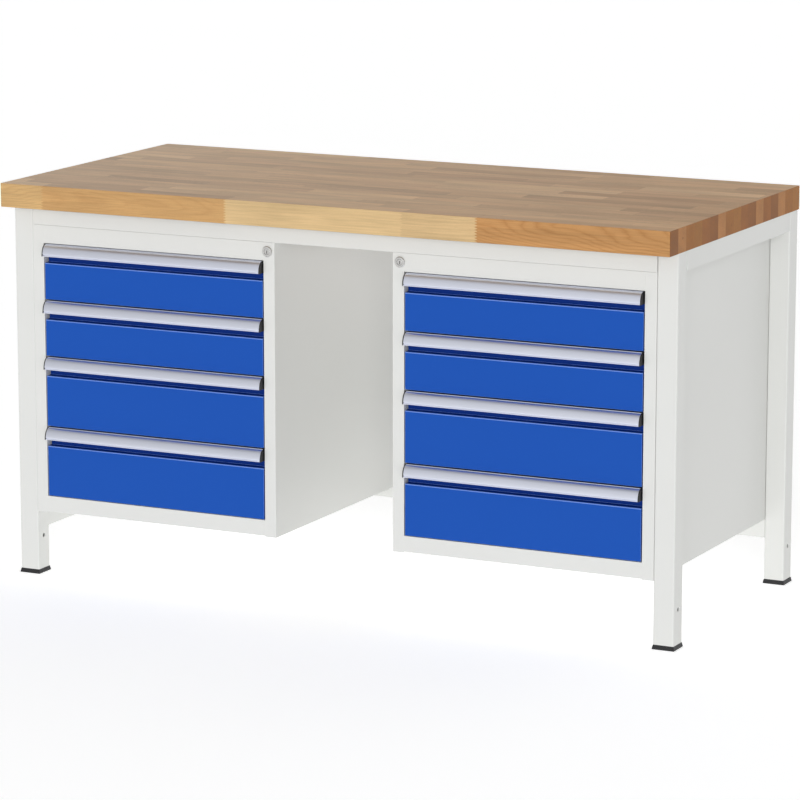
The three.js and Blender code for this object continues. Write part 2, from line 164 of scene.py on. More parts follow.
def colour_steps(tree, value, colours, interpolation="LINEAR"):
    """Ramp over value from 0 to 1: evenly spaced colours, or bands of equal width when CONSTANT."""
    colour_ramp = add(tree, "ShaderNodeValToRGB", {"Fac": value})
    colour_ramp.color_ramp.interpolation = interpolation
    stops = colour_ramp.color_ramp.elements
    share = 1 / (len(colours) - 1) if interpolation == "LINEAR" else 1 / len(colours)
    stops[0].position, stops[1].position = 0, share
    for index, colour in enumerate(colours):
        stop = stops[index] if index < 2 else stops.new(index * share)
        stop.color = (*colour, 1)
    return colour_ramp.outputs[0]


# ---------------------------------------------------------------- beech

# Staves run along X in rows, and row 0 is the front edge.
(_, WORKTOP_FRONT, WORKTOP_LOW), (_, WORKTOP_REAR, WORKTOP_HIGH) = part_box("worktop")
WORKTOP_MIDDLE = (WORKTOP_LOW + WORKTOP_HIGH) / 2
STAVE_ROWS = 17
STAVE_WIDTH = (WORKTOP_REAR - WORKTOP_FRONT) / STAVE_ROWS
STAVE_LENGTHS = (0.24, 0.46)
# Keeps the front face inside row 0
ROW_SHIFT = 0.01 * MM
# How far left of the bench's middle the staves of a row are counted from
ROW_STARTS = (2.0, 3.0)
STAVE_SEED = 3.7
# Butt joints of the front edge from left to right, and the finger teeth in them
FRONT_JOINTS = (-0.650, -0.220, 0.177, 0.340)
FINGER_PITCH = 5.4 * MM
FINGER_SLOPE = 2.6
GLUE_HALF_WIDTH = 0.4 * MM
BUTT_WIDTH = 0.5 * MM
FINGER_GLUE_WIDTH = 0.6 * MM
GLUE_SHADE = 0.74

# Tones as sRGB. The front edge's run from left to right, the right end's change from row to row by
# the golden share, and the others are drawn at random.
FRONT_TONES = ((233, 190, 131), (222, 174, 116), (241, 206, 152), (239, 203, 150), (213, 158, 101))
STAVE_TONES = (
    (184, 143, 106), (226, 186, 144), (206, 165, 124), (240, 203, 160), (194, 151, 112),
    (232, 192, 148), (212, 170, 130))
END_TONES = ((136, 86, 38), (152, 98, 40), (146, 92, 40), (170, 117, 66), (156, 103, 44))
GOLDEN_SHARE = 0.618
# The top is painted lighter and greyer from the right to the left, by this share at the left: a
# painted sheen.
PAINTED_SHEEN_TONE = (244, 222, 202)
PAINTED_SHEEN_SHARE = 0.55
PAINTED_SHEEN_BETWEEN = (0.8, -0.8)
TOP_TINT = (1.05, 1.01, 0.92, 1)
# Painted shade: the underside darker and cooler.
UNDERSIDE_PAINTED_SHADE = (0.50, 0.56, 0.62, 1)
LATE_WOOD_TINT = (0.74, 0.64, 0.54, 1)

# Growth rings of the front edge's staves: how far the pith lies behind and above and how it leans,
# all as shares, and how strong the rings look
FRONT_PITH = (
    (0.40, 0.78, 0.72), (0.30, 0.52, 0.60), (0.60, 0.90, 0.56), (0.55, 0.20, 0.45),
    (0.34, 0.60, 0.26))
FRONT_RINGS = (0.5, 0.35, 0.2, 0.2, 0.8)
PITH_REACH = 0.10
PITH_LEAN = 0.20
RINGS_PER_METRE = 400.0
FRONT_RINGS_PER_METRE = 210.0
RING_WARP = 0.020
TOP_RINGS = 0.34
END_RINGS = 0.8
LATE_WOOD_SHARE = 0.75
RING_SHARPNESS = 2.5

# Scales of the noises, per metre along X, Y and Z
WARP_SCALES = (7.0, 26.0, 26.0)
STREAK_SCALES = (7.0, 330.0, 330.0)
FIBRE_SCALES = (24.0, 1400.0, 1400.0)
FLECK_SCALES = (330.0, 1500.0, 1500.0)
CLOUD_SCALES = (5.0, 22.0, 22.0)
SPOT_SCALES = (90.0, 60.0, 90.0)
# Noise values between which a fleck or a dark spot comes up
FLECKS_BETWEEN = (0.60, 0.70)
SPOTS_BETWEEN = (0.74, 0.79)


def linear(tone):
    """Linear light of an sRGB tone given from 0 to 255."""
    return tuple((value / 255) ** 2.2 for value in tone)


def stave_at(tree, x, y, z):
    """The row, the number in the row and the random values of the stave at a place."""
    across = calc(tree, "DIVIDE", calc(tree, "ADD", y, ROW_SHIFT - WORKTOP_FRONT), STAVE_WIDTH)
    row = calc(tree, "FLOOR", across)
    in_front = calc(tree, "LESS_THAN", row, 0.5)
    row_random = add(tree, "ShaderNodeTexWhiteNoise", {"W": row}, noise_dimensions="1D")
    row_dice = channels(tree, row_random.outputs["Color"])
    length = rescale(tree, row_dice[0], *STAVE_LENGTHS)
    from_start = calc(tree, "ADD", x, rescale(tree, row_dice[1], *ROW_STARTS))
    along = calc(tree, "DIVIDE", from_start, length)

    tooth = calc(tree, "PINGPONG", z, FINGER_PITCH / 2)
    finger = calc(tree, "MULTIPLY", calc(tree, "SUBTRACT", tooth, FINGER_PITCH / 4), FINGER_SLOPE)
    fingered = calc(tree, "SUBTRACT", x, finger)
    front_count = 0.0
    for joint in FRONT_JOINTS:
        front_count = calc(tree, "ADD", calc(tree, "GREATER_THAN", fingered, joint), front_count)
    front_share = calc(tree, "DIVIDE", calc(tree, "ADD", front_count, 0.5), len(FRONT_TONES))

    number = blend_number(tree, in_front, calc(tree, "FLOOR", along), front_count)
    key = add(tree, "ShaderNodeCombineXYZ", {0: row, 1: number, 2: STAVE_SEED}).outputs[0]
    own = add(tree, "ShaderNodeTexWhiteNoise", {"Vector": key}, noise_dimensions="3D").outputs
    return SimpleNamespace(
        across=across, row=row, in_front=in_front, length=length, along=along, fingered=fingered,
        front_share=front_share, value=own["Value"], colour=own["Color"],
        dice=channels(tree, own["Color"]))


def facing(tree):
    """1 where the surface faces the front, an end, down or up, and else 0."""
    limit = 0.6
    normal = split(tree, add(tree, "ShaderNodeNewGeometry").outputs["Normal"])
    return SimpleNamespace(
        front=calc(tree, "LESS_THAN", normal[1], -limit),
        end=calc(tree, "GREATER_THAN", calc(tree, "ABSOLUTE", normal[0]), limit),
        down=calc(tree, "LESS_THAN", normal[2], -limit),
        up=calc(tree, "GREATER_THAN", normal[2], limit))


def stave_tone(tree, x, stave, face):
    def tones(palette):
        return [linear(tone) for tone in palette]

    tone = colour_steps(tree, stave.value, tones(STAVE_TONES))
    front_tone = colour_steps(tree, stave.front_share, tones(FRONT_TONES), "CONSTANT")
    end_mix = calc(tree, "FRACT", calc(tree, "MULTIPLY", stave.row, GOLDEN_SHARE))
    end_tone = colour_steps(tree, end_mix, tones(END_TONES), "CONSTANT")
    tone = tint(tree, "MIX", face.front, tone, front_tone)
    tone = tint(tree, "MIX", face.end, tone, end_tone)
    # Painted shade on the underside.
    tone = tint(tree, "MULTIPLY", face.down, tone, UNDERSIDE_PAINTED_SHADE)
    # Painted sheen: the top lighter and greyer towards the left.
    painted_sheen = product(tree, ramp(tree, x, *PAINTED_SHEEN_BETWEEN, 0.0, PAINTED_SHEEN_SHARE), face.up)
    tone = tint(tree, "MIX", painted_sheen, tone, (*linear(PAINTED_SHEEN_TONE), 1))
    return tint(tree, "MULTIPLY", face.up, tone, TOP_TINT)


def growth_rings(tree, x, y, z, local, stave, face):
    """Late wood from 0 to 1, around a leaning pith line that differs from stave to stave."""
    front_pith = channels(tree, colour_steps(tree, stave.front_share, FRONT_PITH, "CONSTANT"))
    ring_greys = [(strength,) * 3 for strength in FRONT_RINGS]
    front_rings = colour_steps(tree, stave.front_share, ring_greys, "CONSTANT")
    behind, above, lean = [
        blend_number(tree, stave.in_front, stave.dice[index], front_pith[index])
        for index in range(3)]

    def square(place, base, pith):
        distance = calc(tree, "SUBTRACT", calc(tree, "SUBTRACT", place, base), pith)
        return calc(tree, "POWER", calc(tree, "ABSOLUTE", distance), 2.0)

    row_front = calc(tree, "ADD", calc(tree, "MULTIPLY", stave.row, STAVE_WIDTH), WORKTOP_FRONT)
    squares = calc(
        tree, "ADD", square(y, row_front, rescale(tree, behind, 0.0, PITH_REACH)),
        square(z, WORKTOP_MIDDLE, rescale(tree, above, -PITH_REACH, PITH_REACH)))
    warp = calc(tree, "MULTIPLY", grain_noise(tree, local, WARP_SCALES, 3.0), RING_WARP)
    leaning = calc(tree, "MULTIPLY", x, rescale(tree, lean, -PITH_LEAN, PITH_LEAN))
    radius = calc(tree, "ADD", calc(tree, "ADD", calc(tree, "SQRT", squares), warp), leaning)
    per_metre = blend_number(tree, face.front, RINGS_PER_METRE, FRONT_RINGS_PER_METRE)
    ring = calc(tree, "FRACT", calc(tree, "MULTIPLY", radius, per_metre))
    wave = calc(tree, "PINGPONG", calc(tree, "MULTIPLY", ring, 2.0), 1.0)
    late_wood = calc(tree, "POWER", wave, RING_SHARPNESS)
    seen = blend_number(tree, face.front, TOP_RINGS, front_rings)
    return product(tree, late_wood, blend_number(tree, face.end, seen, END_RINGS))


def glue_lines(tree, stave):
    """1 on the lines between rows, on their butt joints and on the finger joints, else 0."""
    edge = calc(tree, "PINGPONG", stave.across, 1.0)
    glue = calc(tree, "LESS_THAN", calc(tree, "MULTIPLY", edge, STAVE_WIDTH), GLUE_HALF_WIDTH)
    from_end = calc(tree, "MULTIPLY", calc(tree, "FRACT", stave.along), stave.length)
    near_end = calc(tree, "LESS_THAN", from_end, BUTT_WIDTH)
    behind_front = calc(tree, "GREATER_THAN", stave.row, 0.5)
    glue = calc(tree, "MAXIMUM", glue, calc(tree, "MULTIPLY", near_end, behind_front))
    for joint in FRONT_JOINTS:
        offset = calc(tree, "ABSOLUTE", calc(tree, "SUBTRACT", stave.fingered, joint))
        near_joint = calc(tree, "LESS_THAN", offset, FINGER_GLUE_WIDTH)
        glue = calc(tree, "MAXIMUM", glue, calc(tree, "MULTIPLY", near_joint, stave.in_front))
    return glue


def beech():
    material, tree, shader = new_material("beech_staves")
    shader.inputs["Specular IOR Level"].default_value = 0.2
    place = place_in_metres(tree)
    x, y, z = split(tree, place)
    stave = stave_at(tree, x, y, z)
    face = facing(tree)
    shifted = add(tree, "ShaderNodeVectorMath", {0: place, 1: stave.colour}, operation="ADD")
    local = shifted.outputs[0]

    tone = stave_tone(tree, x, stave, face)
    late_wood = growth_rings(tree, x, y, z, local, stave, face)
    dark_tone = tint(tree, "MULTIPLY", 1.0, tone, LATE_WOOD_TINT)
    tone = tint(tree, "MIX", calc(tree, "MULTIPLY", late_wood, LATE_WOOD_SHARE), tone, dark_tone)

    streaks = grain_noise(tree, local, STREAK_SCALES, 4.0, 0.6)
    fibres = grain_noise(tree, local, FIBRE_SCALES)
    flecks = ramp(tree, grain_noise(tree, local, FLECK_SCALES, 1.0), *FLECKS_BETWEEN)
    cloud = grain_noise(tree, local, CLOUD_SCALES, 3.0)
    spots = ramp(tree, grain_noise(tree, place, SPOT_SCALES, 1.0), *SPOTS_BETWEEN)
    end_spots = calc(tree, "MULTIPLY", spots, face.end)
    shade = product(
        tree, contrast(tree, streaks, 0.10), contrast(tree, cloud, 0.09),
        rescale(tree, fibres, 0.95, 1.05), rescale(tree, flecks, 1.0, 0.90),
        rescale(tree, end_spots, 1.0, 0.75),
        rescale(tree, glue_lines(tree, stave), 1.0, GLUE_SHADE))
    height = calc(tree, "ADD", streaks, calc(tree, "MULTIPLY", fibres, 0.6))
    roughness = rescale(tree, streaks, 0.40, 0.56)
    surface(tree, shader, shaded(tree, tone, shade), roughness, height, 0.1 * MM)
    return material


# ---------------------------------------------------------------- paint, metal and plastic

def powder_coat(name, colour, rough, gloss, shade_colour=None, shade_from=0.0):
    """Fine-structure paint with slight orange peel, and a darker colour painted as shade behind a
    given depth along Y.
    """
    material, tree, shader = new_material(name)
    shader.inputs["Specular IOR Level"].default_value = gloss
    place = place_in_metres(tree)
    cloud = noise(tree, place, 3.0, 3.0)
    peel = noise(tree, place, 900.0, 1.0)
    speck = noise(tree, place, 2600.0, 0.0)
    shade = product(tree, rescale(tree, cloud, 0.975, 1.025), rescale(tree, speck, 0.99, 1.01))
    tone = (*colour, 1)
    # Painted shade: a darker colour behind the given depth.
    if shade_colour:
        recess_shade = ramp(tree, split(tree, place)[1], shade_from, shade_from + 1 * MM)
        tone = tint(tree, "MIX", recess_shade, tone, (*shade_colour, 1))
    height = calc(tree, "ADD", peel, calc(tree, "MULTIPLY", speck, 0.3))
    roughness = rescale(tree, peel, rough - 0.05, rough + 0.05)
    surface(tree, shader, shaded(tree, tone, shade), roughness, height, 0.02 * MM)
    return material


def aluminium():
    """Anodised extrusion with faint die lines along its length."""
    material, tree, shader = new_material("anodised_aluminium", 1.0)
    place = place_in_metres(tree)
    lines = grain_noise(tree, place, (3.0, 2600.0, 2600.0), 3.0, 0.7)
    cloud = noise(tree, place, 9.0, 2.0)
    shade = product(tree, rescale(tree, lines, 0.96, 1.04), rescale(tree, cloud, 0.985, 1.015))
    colour = shaded(tree, (0.82, 0.85, 0.96, 1), shade)
    surface(tree, shader, colour, rescale(tree, lines, 0.30, 0.42), lines, 0.01 * MM)
    return material


def plated(name, colour, rough, grain):
    """Plated steel with faint crystal patches."""
    material, tree, shader = new_material(name, 1.0)
    place = place_in_metres(tree)
    cells = add(tree, "ShaderNodeTexVoronoi", {"Vector": place, "Scale": grain})
    patch = channels(tree, cells.outputs["Color"])[0]
    fine = noise(tree, place, 700.0, 2.0)
    shade = product(tree, rescale(tree, patch, 0.95, 1.05), rescale(tree, fine, 0.97, 1.03))
    roughness = rescale(tree, patch, rough - 0.06, rough + 0.06)
    surface(tree, shader, shaded(tree, (*colour, 1), shade), roughness, fine, 0.01 * MM)
    return material


def moulded(name, colour):
    """Moulded plastic with a fine spark-eroded texture."""
    material, tree, shader = new_material(name)
    place = place_in_metres(tree)
    pits = noise(tree, place, 1800.0, 2.0)
    cloud = noise(tree, place, 30.0, 2.0)
    colour = shaded(tree, (*colour, 1), rescale(tree, cloud, 0.85, 1.15))
    surface(tree, shader, colour, rescale(tree, pits, 0.42, 0.58), pits, 0.03 * MM)
    return material


FRONT_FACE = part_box("left_drawer_1_front")[0][1]
RECESS_PAINTED_SHADE = (0.0005, 0.030, 0.24)
MATERIALS = {
    "beech": beech(),
    "grey_paint": powder_coat("grey_powder_coat", (0.71, 0.715, 0.695), 0.42, 0.5),
    "drawer_grey": powder_coat("tray_powder_coat", (0.66, 0.665, 0.65), 0.45, 0.5),
    # The finger recesses and the side gaps behind the front face get a darker blue: painted shade.
    "blue_paint": powder_coat(
        "blue_powder_coat", (0.010, 0.082, 0.425), 0.38, 0.1, RECESS_PAINTED_SHADE, FRONT_FACE + 0.6 * MM),
    "grip_aluminium": aluminium(),
    "black_plastic": moulded("black_moulding", (0.012, 0.012, 0.014)),
    "lock_metal": plated("satin_nickel", (0.57, 0.565, 0.55), 0.24, 60.0),
    "zinc_steel": plated("zinc_plate", (0.56, 0.58, 0.60), 0.40, 160.0),
}
# Lighter copies of the paints with lower roughness for rounded folds and edges; the lighter colour
# is a painted highlight.
FOLD_HIGHLIGHT_MATERIALS = {
    "grey_paint": powder_coat("grey_paint_painted_highlight", (0.84, 0.845, 0.83), 0.34, 0.6),
    "blue_paint": powder_coat("blue_paint_painted_highlight", (0.17, 0.31, 0.80), 0.30, 0.5),
}


# ---------------------------------------------------------------- shapes

# Places the coordinates u and v across an axis and t along it
ALONG = {
    "X": lambda u, v, t: (t, u, v),
    "Y": lambda u, v, t: (u, t, v),
    "Z": lambda u, v, t: (u, v, t),
}


def mesh_of(name, fill):
    """The mesh that fill draws into a bmesh, with its faces turned outwards."""
    made = bmesh.new()
    fill(made)
    bmesh.ops.recalc_face_normals(made, faces=made.faces)
    mesh = bpy.data.meshes.new(name)
    made.to_mesh(mesh)
    made.free()
    return mesh


def skin(made, rings):
    """Closes rings of equally many points into a solid."""
    made.faces.new(rings[0])
    made.faces.new(rings[-1])
    count = len(rings[0])
    for low, high in zip(rings, rings[1:]):
        for index in range(count):
            after = (index + 1) % count
            made.faces.new((low[index], low[after], high[after], high[index]))


def prism(made, outline, axis, start, end):
    """Closed outline swept straight along an axis; it gives the other two coordinates in order."""
    skin(made, [[made.verts.new(ALONG[axis](u, v, t)) for u, v in outline] for t in (start, end)])


def turned(made, profile, centre, axis, steps=32):
    """Closed solid turned from (radius, distance) points that start and end on the axis."""
    u0, v0, t0 = {
        "X": (centre[1], centre[2], centre[0]), "Y": (centre[0], centre[2], centre[1]),
        "Z": (centre[0], centre[1], centre[2])}[axis]
    angles = [2 * math.pi * step / steps for step in range(steps)]
    rings = []
    for radius, distance in profile:
        around = angles if radius else angles[:1]
        points = [(u0 + radius * math.cos(a), v0 + radius * math.sin(a)) for a in around]
        rings.append([made.verts.new(ALONG[axis](u, v, t0 + distance)) for u, v in points])
    for low, high in zip(rings, rings[1:]):
        for step in range(steps):
            after = (step + 1) % steps
            corners = [low[step % len(low)], low[after % len(low)]]
            corners += [high[after % len(high)], high[step % len(high)]]
            made.faces.new(list(dict.fromkeys(corners)))


def arc(centre_u, centre_v, radius_u, radius_v, start, end, steps):
    """Points of an ellipse's arc, with angles in degrees from +u towards +v."""
    angles = [math.radians(start + (end - start) * step / steps) for step in range(steps + 1)]
    return [(centre_u + radius_u * math.cos(a), centre_v + radius_v * math.sin(a)) for a in angles]


# ---------------------------------------------------------------- pieces

# Top fold of a blue front, below its upper edge; the other edges get only a share of the bevel.
# The bevel carries the painted highlight, so the highlight is widest along the top fold.
FOLD_BELOW_TOP = 38.2 * MM
FOLD_TOLERANCE = 0.5 * MM
FACE_TOLERANCE = 0.1 * MM
OTHER_EDGES_SHARE = 0.18
WELD_DISTANCE = 0.01 * MM
FLAT_ANGLE = 0.5


def smooth_group(name, face=None):
    """Modifier tree that shades smooth, so that bevels blend, and may favour a front's top fold."""
    group = bpy.data.node_groups.new(name, "GeometryNodeTree")
    group.interface.new_socket("Geometry", in_out="INPUT", socket_type="NodeSocketGeometry")
    group.interface.new_socket("Geometry", in_out="OUTPUT", socket_type="NodeSocketGeometry")
    faceted = group.nodes.new("NodeGroupInput").outputs[0]
    shaped = add(group, "GeometryNodeSetShadeSmooth", {0: faceted}).outputs[0]
    if face is not None:
        _, y, z = split(group, add(group, "GeometryNodeInputPosition").outputs[0])
        top = split(group, add(group, "GeometryNodeBoundBox", {0: shaped}).outputs["Max"])[2]
        on_face = calc(group, "LESS_THAN", y, face + FACE_TOLERANCE)
        below_fold = calc(group, "SUBTRACT", calc(group, "SUBTRACT", top, FOLD_BELOW_TOP), z)
        on_fold = calc(group, "LESS_THAN", calc(group, "ABSOLUTE", below_fold), FOLD_TOLERANCE)
        weight = rescale(group, calc(group, "MULTIPLY", on_face, on_fold), OTHER_EDGES_SHARE, 1.0)
        inputs = {"Geometry": shaped, "Name": "bevel_weight_edge", "Value": weight}
        store = "GeometryNodeStoreNamedAttribute"
        shaped = add(group, store, inputs, data_type="FLOAT", domain="EDGE").outputs[0]
    group.links.new(shaped, group.nodes.new("NodeGroupOutput").inputs[0])
    return group


SHADE_SMOOTH = smooth_group("shade_smooth")
FAVOUR_FACE = smooth_group("favour_front_face", FRONT_FACE)


def soften(piece, width, segments=2, angle=40, highlight_material=None, group=SHADE_SMOOTH):
    """Welds the faceted mesh, drops its flat triangles and rounds its sharp edges."""
    weld = piece.modifiers.new("weld", "WELD")
    weld.merge_threshold = WELD_DISTANCE
    flat = piece.modifiers.new("flat", "DECIMATE")
    flat.decimate_type = "DISSOLVE"
    flat.angle_limit = math.radians(FLAT_ANGLE)
    smooth = piece.modifiers.new("smooth", "NODES")
    smooth.node_group = group
    bevel = piece.modifiers.new("bevel", "BEVEL")
    bevel.limit_method = "ANGLE" if group == SHADE_SMOOTH else "WEIGHT"
    bevel.angle_limit = math.radians(angle)
    bevel.use_clamp_overlap = group == SHADE_SMOOTH
    bevel.width = width
    bevel.segments = segments
    # The bevel's faces take the lighter material: a painted highlight along the rounded edges.
    if highlight_material:
        piece.data.materials.append(highlight_material)
        bevel.material = 1
    normals = piece.modifiers.new("normals", "WEIGHTED_NORMAL")
    normals.keep_sharp = False


def new_piece(name, fill, body, slot, stands_for=()):
    """A visual piece drawn by fill that rides a body, and may stand for CAD nodes."""
    mesh = mesh_of(name, fill)
    piece = bpy.data.objects.new(name, mesh)
    bpy.context.scene.collection.objects.link(piece)
    mesh.materials.append(MATERIALS[slot])
    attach(piece, body)
    if stands_for:
        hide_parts(*stands_for)
    return piece


BEVEL_BY_SLOT = {
    "beech": 1.0 * MM,
    "grey_paint": 0.4 * MM,
    "drawer_grey": 0.35 * MM,
    "blue_paint": 1.8 * MM,
    "black_plastic": 0.6 * MM,
    "lock_metal": 0.25 * MM,
    "zinc_steel": 0.3 * MM,
}
THIN_PANEL_BEVEL = 0.15 * MM
FRONT_FRAME_BEVEL = 0.5 * MM


def finish_cad_nodes():
    """Materials and rounded edges for the CAD nodes; other pieces stand for the grips."""
    for part in frame["record"]["subparts"]:
        name = part["node"]
        node = nodes[name]
        slot = part["material_slot"]
        node.data.materials.clear()
        node.data.materials.append(MATERIALS[slot])
        # Front frames and blue fronts get a painted highlight on their bevels.
        if name.endswith("front_frame"):
            soften(node, FRONT_FRAME_BEVEL, highlight_material=FOLD_HIGHLIGHT_MATERIALS[slot])
        elif name.endswith(("_side", "_back", "_bottom")):
            soften(node, THIN_PANEL_BEVEL)
        elif slot == "blue_paint":
            soften(node, BEVEL_BY_SLOT[slot], highlight_material=FOLD_HIGHLIGHT_MATERIALS[slot], group=FAVOUR_FACE)
        elif not name.endswith("_grip"):
            soften(node, BEVEL_BY_SLOT[slot])


# ---------------------------------------------------------------- grip strips

GRIP_WALL = 2 * MM
GRIP_CAP_WIDTH = 2.4 * MM
GRIP_CAP_GAP = 0.1 * MM
GRIP_TOP_GAP = 1.0 * MM
GRIP_FLANGE_DEPTH = 16 * MM
LIP_HEIGHT = 2.6 * MM
LIP_STEP = 0.3 * MM
LIP_ARC = (-150, 80)
GROOVE_TOP = 4.4 * MM
GROOVE_DEPTH = 1.8 * MM
GROOVE_CORNERS = (LIP_HEIGHT + 0.2 * MM, GROOVE_TOP - 0.3 * MM)
RECESS_TO_REAR = 5.3 * MM


def grip(side, number):
    """Extruded hood with a rolled lip and a flange, and a black cap on each end."""
    name = f"{side}_drawer_{number}"
    (x0, front, low), (x1, rear, high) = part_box(f"{name}_grip")
    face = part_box(f"{name}_front")[0][1]
    reach = face - front
    hood_high = high - GRIP_TOP_GAP
    height = hood_high - low
    lip_angle = math.degrees(math.asin(GROOVE_TOP / height))
    outer = arc(face, low, -reach, height, lip_angle, 90, 20)
    inner = arc(face, low, -(reach - GRIP_WALL), height - GRIP_WALL, 90, 2 * lip_angle, 16)
    roll = LIP_HEIGHT / 2
    lip = arc(front + LIP_STEP + roll, low + roll, -roll, roll, *LIP_ARC, 8)
    groove = [(front + GROOVE_DEPTH, low + corner) for corner in GROOVE_CORNERS]
    web_low = high - GRIP_WALL
    flange_low = high - GRIP_FLANGE_DEPTH
    flange = rear - RECESS_TO_REAR
    outline = [
        *outer, (face, high), (rear, high), (rear, web_low), (flange, web_low),
        (flange, flange_low), (flange - GRIP_WALL, flange_low), (flange - GRIP_WALL, web_low),
        (face, web_low), *inner, *lip, *groove]

    def strip(made):
        prism(made, outline, "X", x0 + GRIP_CAP_WIDTH, x1 - GRIP_CAP_WIDTH)

    piece = new_piece(f"{name}_grip_strip", strip, name, "grip_aluminium", (f"{name}_grip",))
    soften(piece, 0.2 * MM, angle=50)

    closed = [*arc(face, low, -reach, height, 0, 90, 20), (flange, hood_high), (flange, low)]

    def caps(made):
        prism(made, closed, "X", x0, x0 + GRIP_CAP_WIDTH - GRIP_CAP_GAP)
        prism(made, closed, "X", x1 - GRIP_CAP_WIDTH + GRIP_CAP_GAP, x1)

    piece = new_piece(f"{name}_grip_caps", caps, name, "black_plastic")
    soften(piece, 0.5 * MM)


# ---------------------------------------------------------------- trays, runners and seams

SHEET = 1.2 * MM
# From the tray's walls to the runner members beside them, and from the front to the opening's edge
RUNNER_REACH = 10.3 * MM
SIDE_GAP = 2.6 * MM
# Profiles start this far inside the surface that they stand on.
SUNK = 0.2 * MM

RIM_RADIUS = 1.7 * MM
FRONT_SCREW_RADIUS = 4.5 * MM
FRONT_SCREW_HEIGHT = 2.4 * MM
FRONT_SCREW_INSET = 28 * MM
FRONT_SCREW_ABOVE_FLOOR = 18 * MM
FRONT_SCREW_BELOW_RIM = 16 * MM


def button_screw(radius, height):
    """Profile of a screw head with a round socket in it."""
    return [
        (0, -SUNK), (radius, -SUNK), (radius, 0.3 * height), (0.9 * radius, 0.65 * height),
        (0.65 * radius, 0.95 * height), (0.42 * radius, height), (0.36 * radius, 0.92 * height),
        (0.36 * radius, 0.3 * height), (0, 0.3 * height)]


def tray_details(side, number):
    """Rolled rim around the tray and the screws that hold the blue front."""
    name = f"{side}_drawer_{number}"
    (x0, y0, z0), (x1, y1, z1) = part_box(f"{name}_tray")
    x0, x1 = x0 + RUNNER_REACH, x1 - RUNNER_REACH
    bead = arc(0, 0, RIM_RADIUS, RIM_RADIUS, 0, 360, 16)[:-1]

    def rims(made):
        for x in (x0 + SHEET / 2, x1 - SHEET / 2):
            side_bead = [(x + u, z1 + v - RIM_RADIUS) for u, v in bead]
            prism(made, side_bead, "Y", y0 + 2 * SHEET, y1 - SHEET)
        back = [(y1 - SHEET / 2 + u, z1 + v - RIM_RADIUS) for u, v in bead]
        prism(made, back, "X", x0 + RIM_RADIUS, x1 - RIM_RADIUS)

    piece = new_piece(f"{name}_tray_rim", rims, name, "drawer_grey")
    soften(piece, 0.3 * MM, angle=60)

    def screws(made):
        head = button_screw(FRONT_SCREW_RADIUS, FRONT_SCREW_HEIGHT)
        for x in (x0 + FRONT_SCREW_INSET, x1 - FRONT_SCREW_INSET):
            for z in (z0 + FRONT_SCREW_ABOVE_FLOOR, z1 - FRONT_SCREW_BELOW_RIM):
                turned(made, head, (x, y0 + SHEET, z), "Y", 24)

    piece = new_piece(f"{name}_front_screws", screws, name, "zinc_steel")
    soften(piece, 0.15 * MM)


# Radius and distance from the rack's sheet, in millimetres: rivet collar, wheel, hub and rivet head
ROLLER_PROFILE = (
    (0, 0), (3.2, 0), (3.2, 0.5), (8.7, 0.5), (9.5, 1.3), (9.5, 7.0), (8.7, 7.8), (5.0, 7.8),
    (4.6, 7.2), (3.0, 7.2), (2.8, 8.0), (0, 8.3))
ROLLER_BEHIND_FRAME = 42 * MM
ROLLER_ABOVE_CHANNEL = 22 * MM
CHANNEL_BELOW_TRAY = 5 * MM


def runner_rollers(side, where):
    """One fixed roller at the front of each channel, on a riveted axle."""
    rack_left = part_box(f"{side}_cabinet_{where}_runner_rack")[0][0]
    (front_left, _, _), (front_right, _, _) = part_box(f"{side}_drawer_1_front")
    inward = 1 if rack_left < front_left else -1
    wall = front_left - SIDE_GAP if inward == 1 else front_right + SIDE_GAP
    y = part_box(f"{side}_cabinet_front_frame")[0][1] + ROLLER_BEHIND_FRAME
    profile = [
        (radius * MM, inward * (SHEET + distance * MM)) for radius, distance in ROLLER_PROFILE]

    def wheels(made):
        for number in DRAWERS:
            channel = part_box(f"{side}_drawer_{number}_tray")[0][2] - CHANNEL_BELOW_TRAY
            turned(made, profile, (wall, y, channel + ROLLER_ABOVE_CHANNEL), "X")

    piece = new_piece(f"{side}_{where}_runner_rollers", wheels, "root", "black_plastic")
    soften(piece, 0.25 * MM)


WELD_SEED = 11
WELD_STEPS = 10
WELD_SUNK = 0.1 * MM
WELD_HALF_WIDTHS = (0.7, 0.95)
WELD_RISES = (0.16, 0.26)
WELD_SWAY = 0.12
OPENING_ABOVE_FRONT = 3.5 * MM
OPENING_BELOW_FRONT = 1.5 * MM
WELD_END_GAP = 1 * MM
WELD_FOOT_GAP = 3.5 * MM


